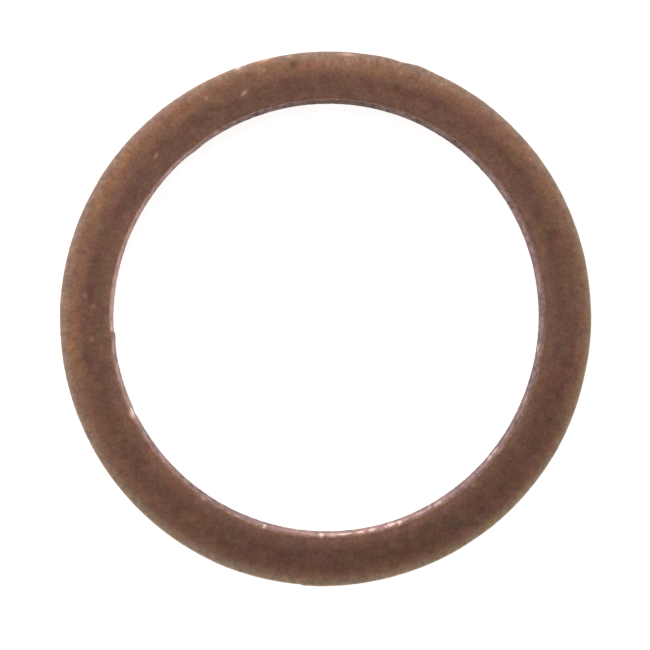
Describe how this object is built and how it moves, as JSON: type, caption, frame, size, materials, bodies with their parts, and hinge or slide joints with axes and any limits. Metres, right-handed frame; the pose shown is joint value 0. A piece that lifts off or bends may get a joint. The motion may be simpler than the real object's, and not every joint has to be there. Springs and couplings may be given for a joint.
{
  "type": "drain plug washer",
  "caption": "Copper sealing ring with softly crowned faces and a plain bore, crushed between a drain plug's head and the sump to seal it.",
  "frame": {"origin": "centre of the bore, at the level of the lower sealing face", "axes": "+Z along the bore, out of the upper sealing face; +Y is the top of the picture and +X its right"},
  "size_m": [0.0198, 0.0198, 0.0015],
  "materials": {
    "copper": "annealed copper with a dull brown oxide, finely pitted, with bare pinkish metal along the bore"
  },
  "bodies": {
    "root": {"washer": "copper"}
  },
  "joints": []
}
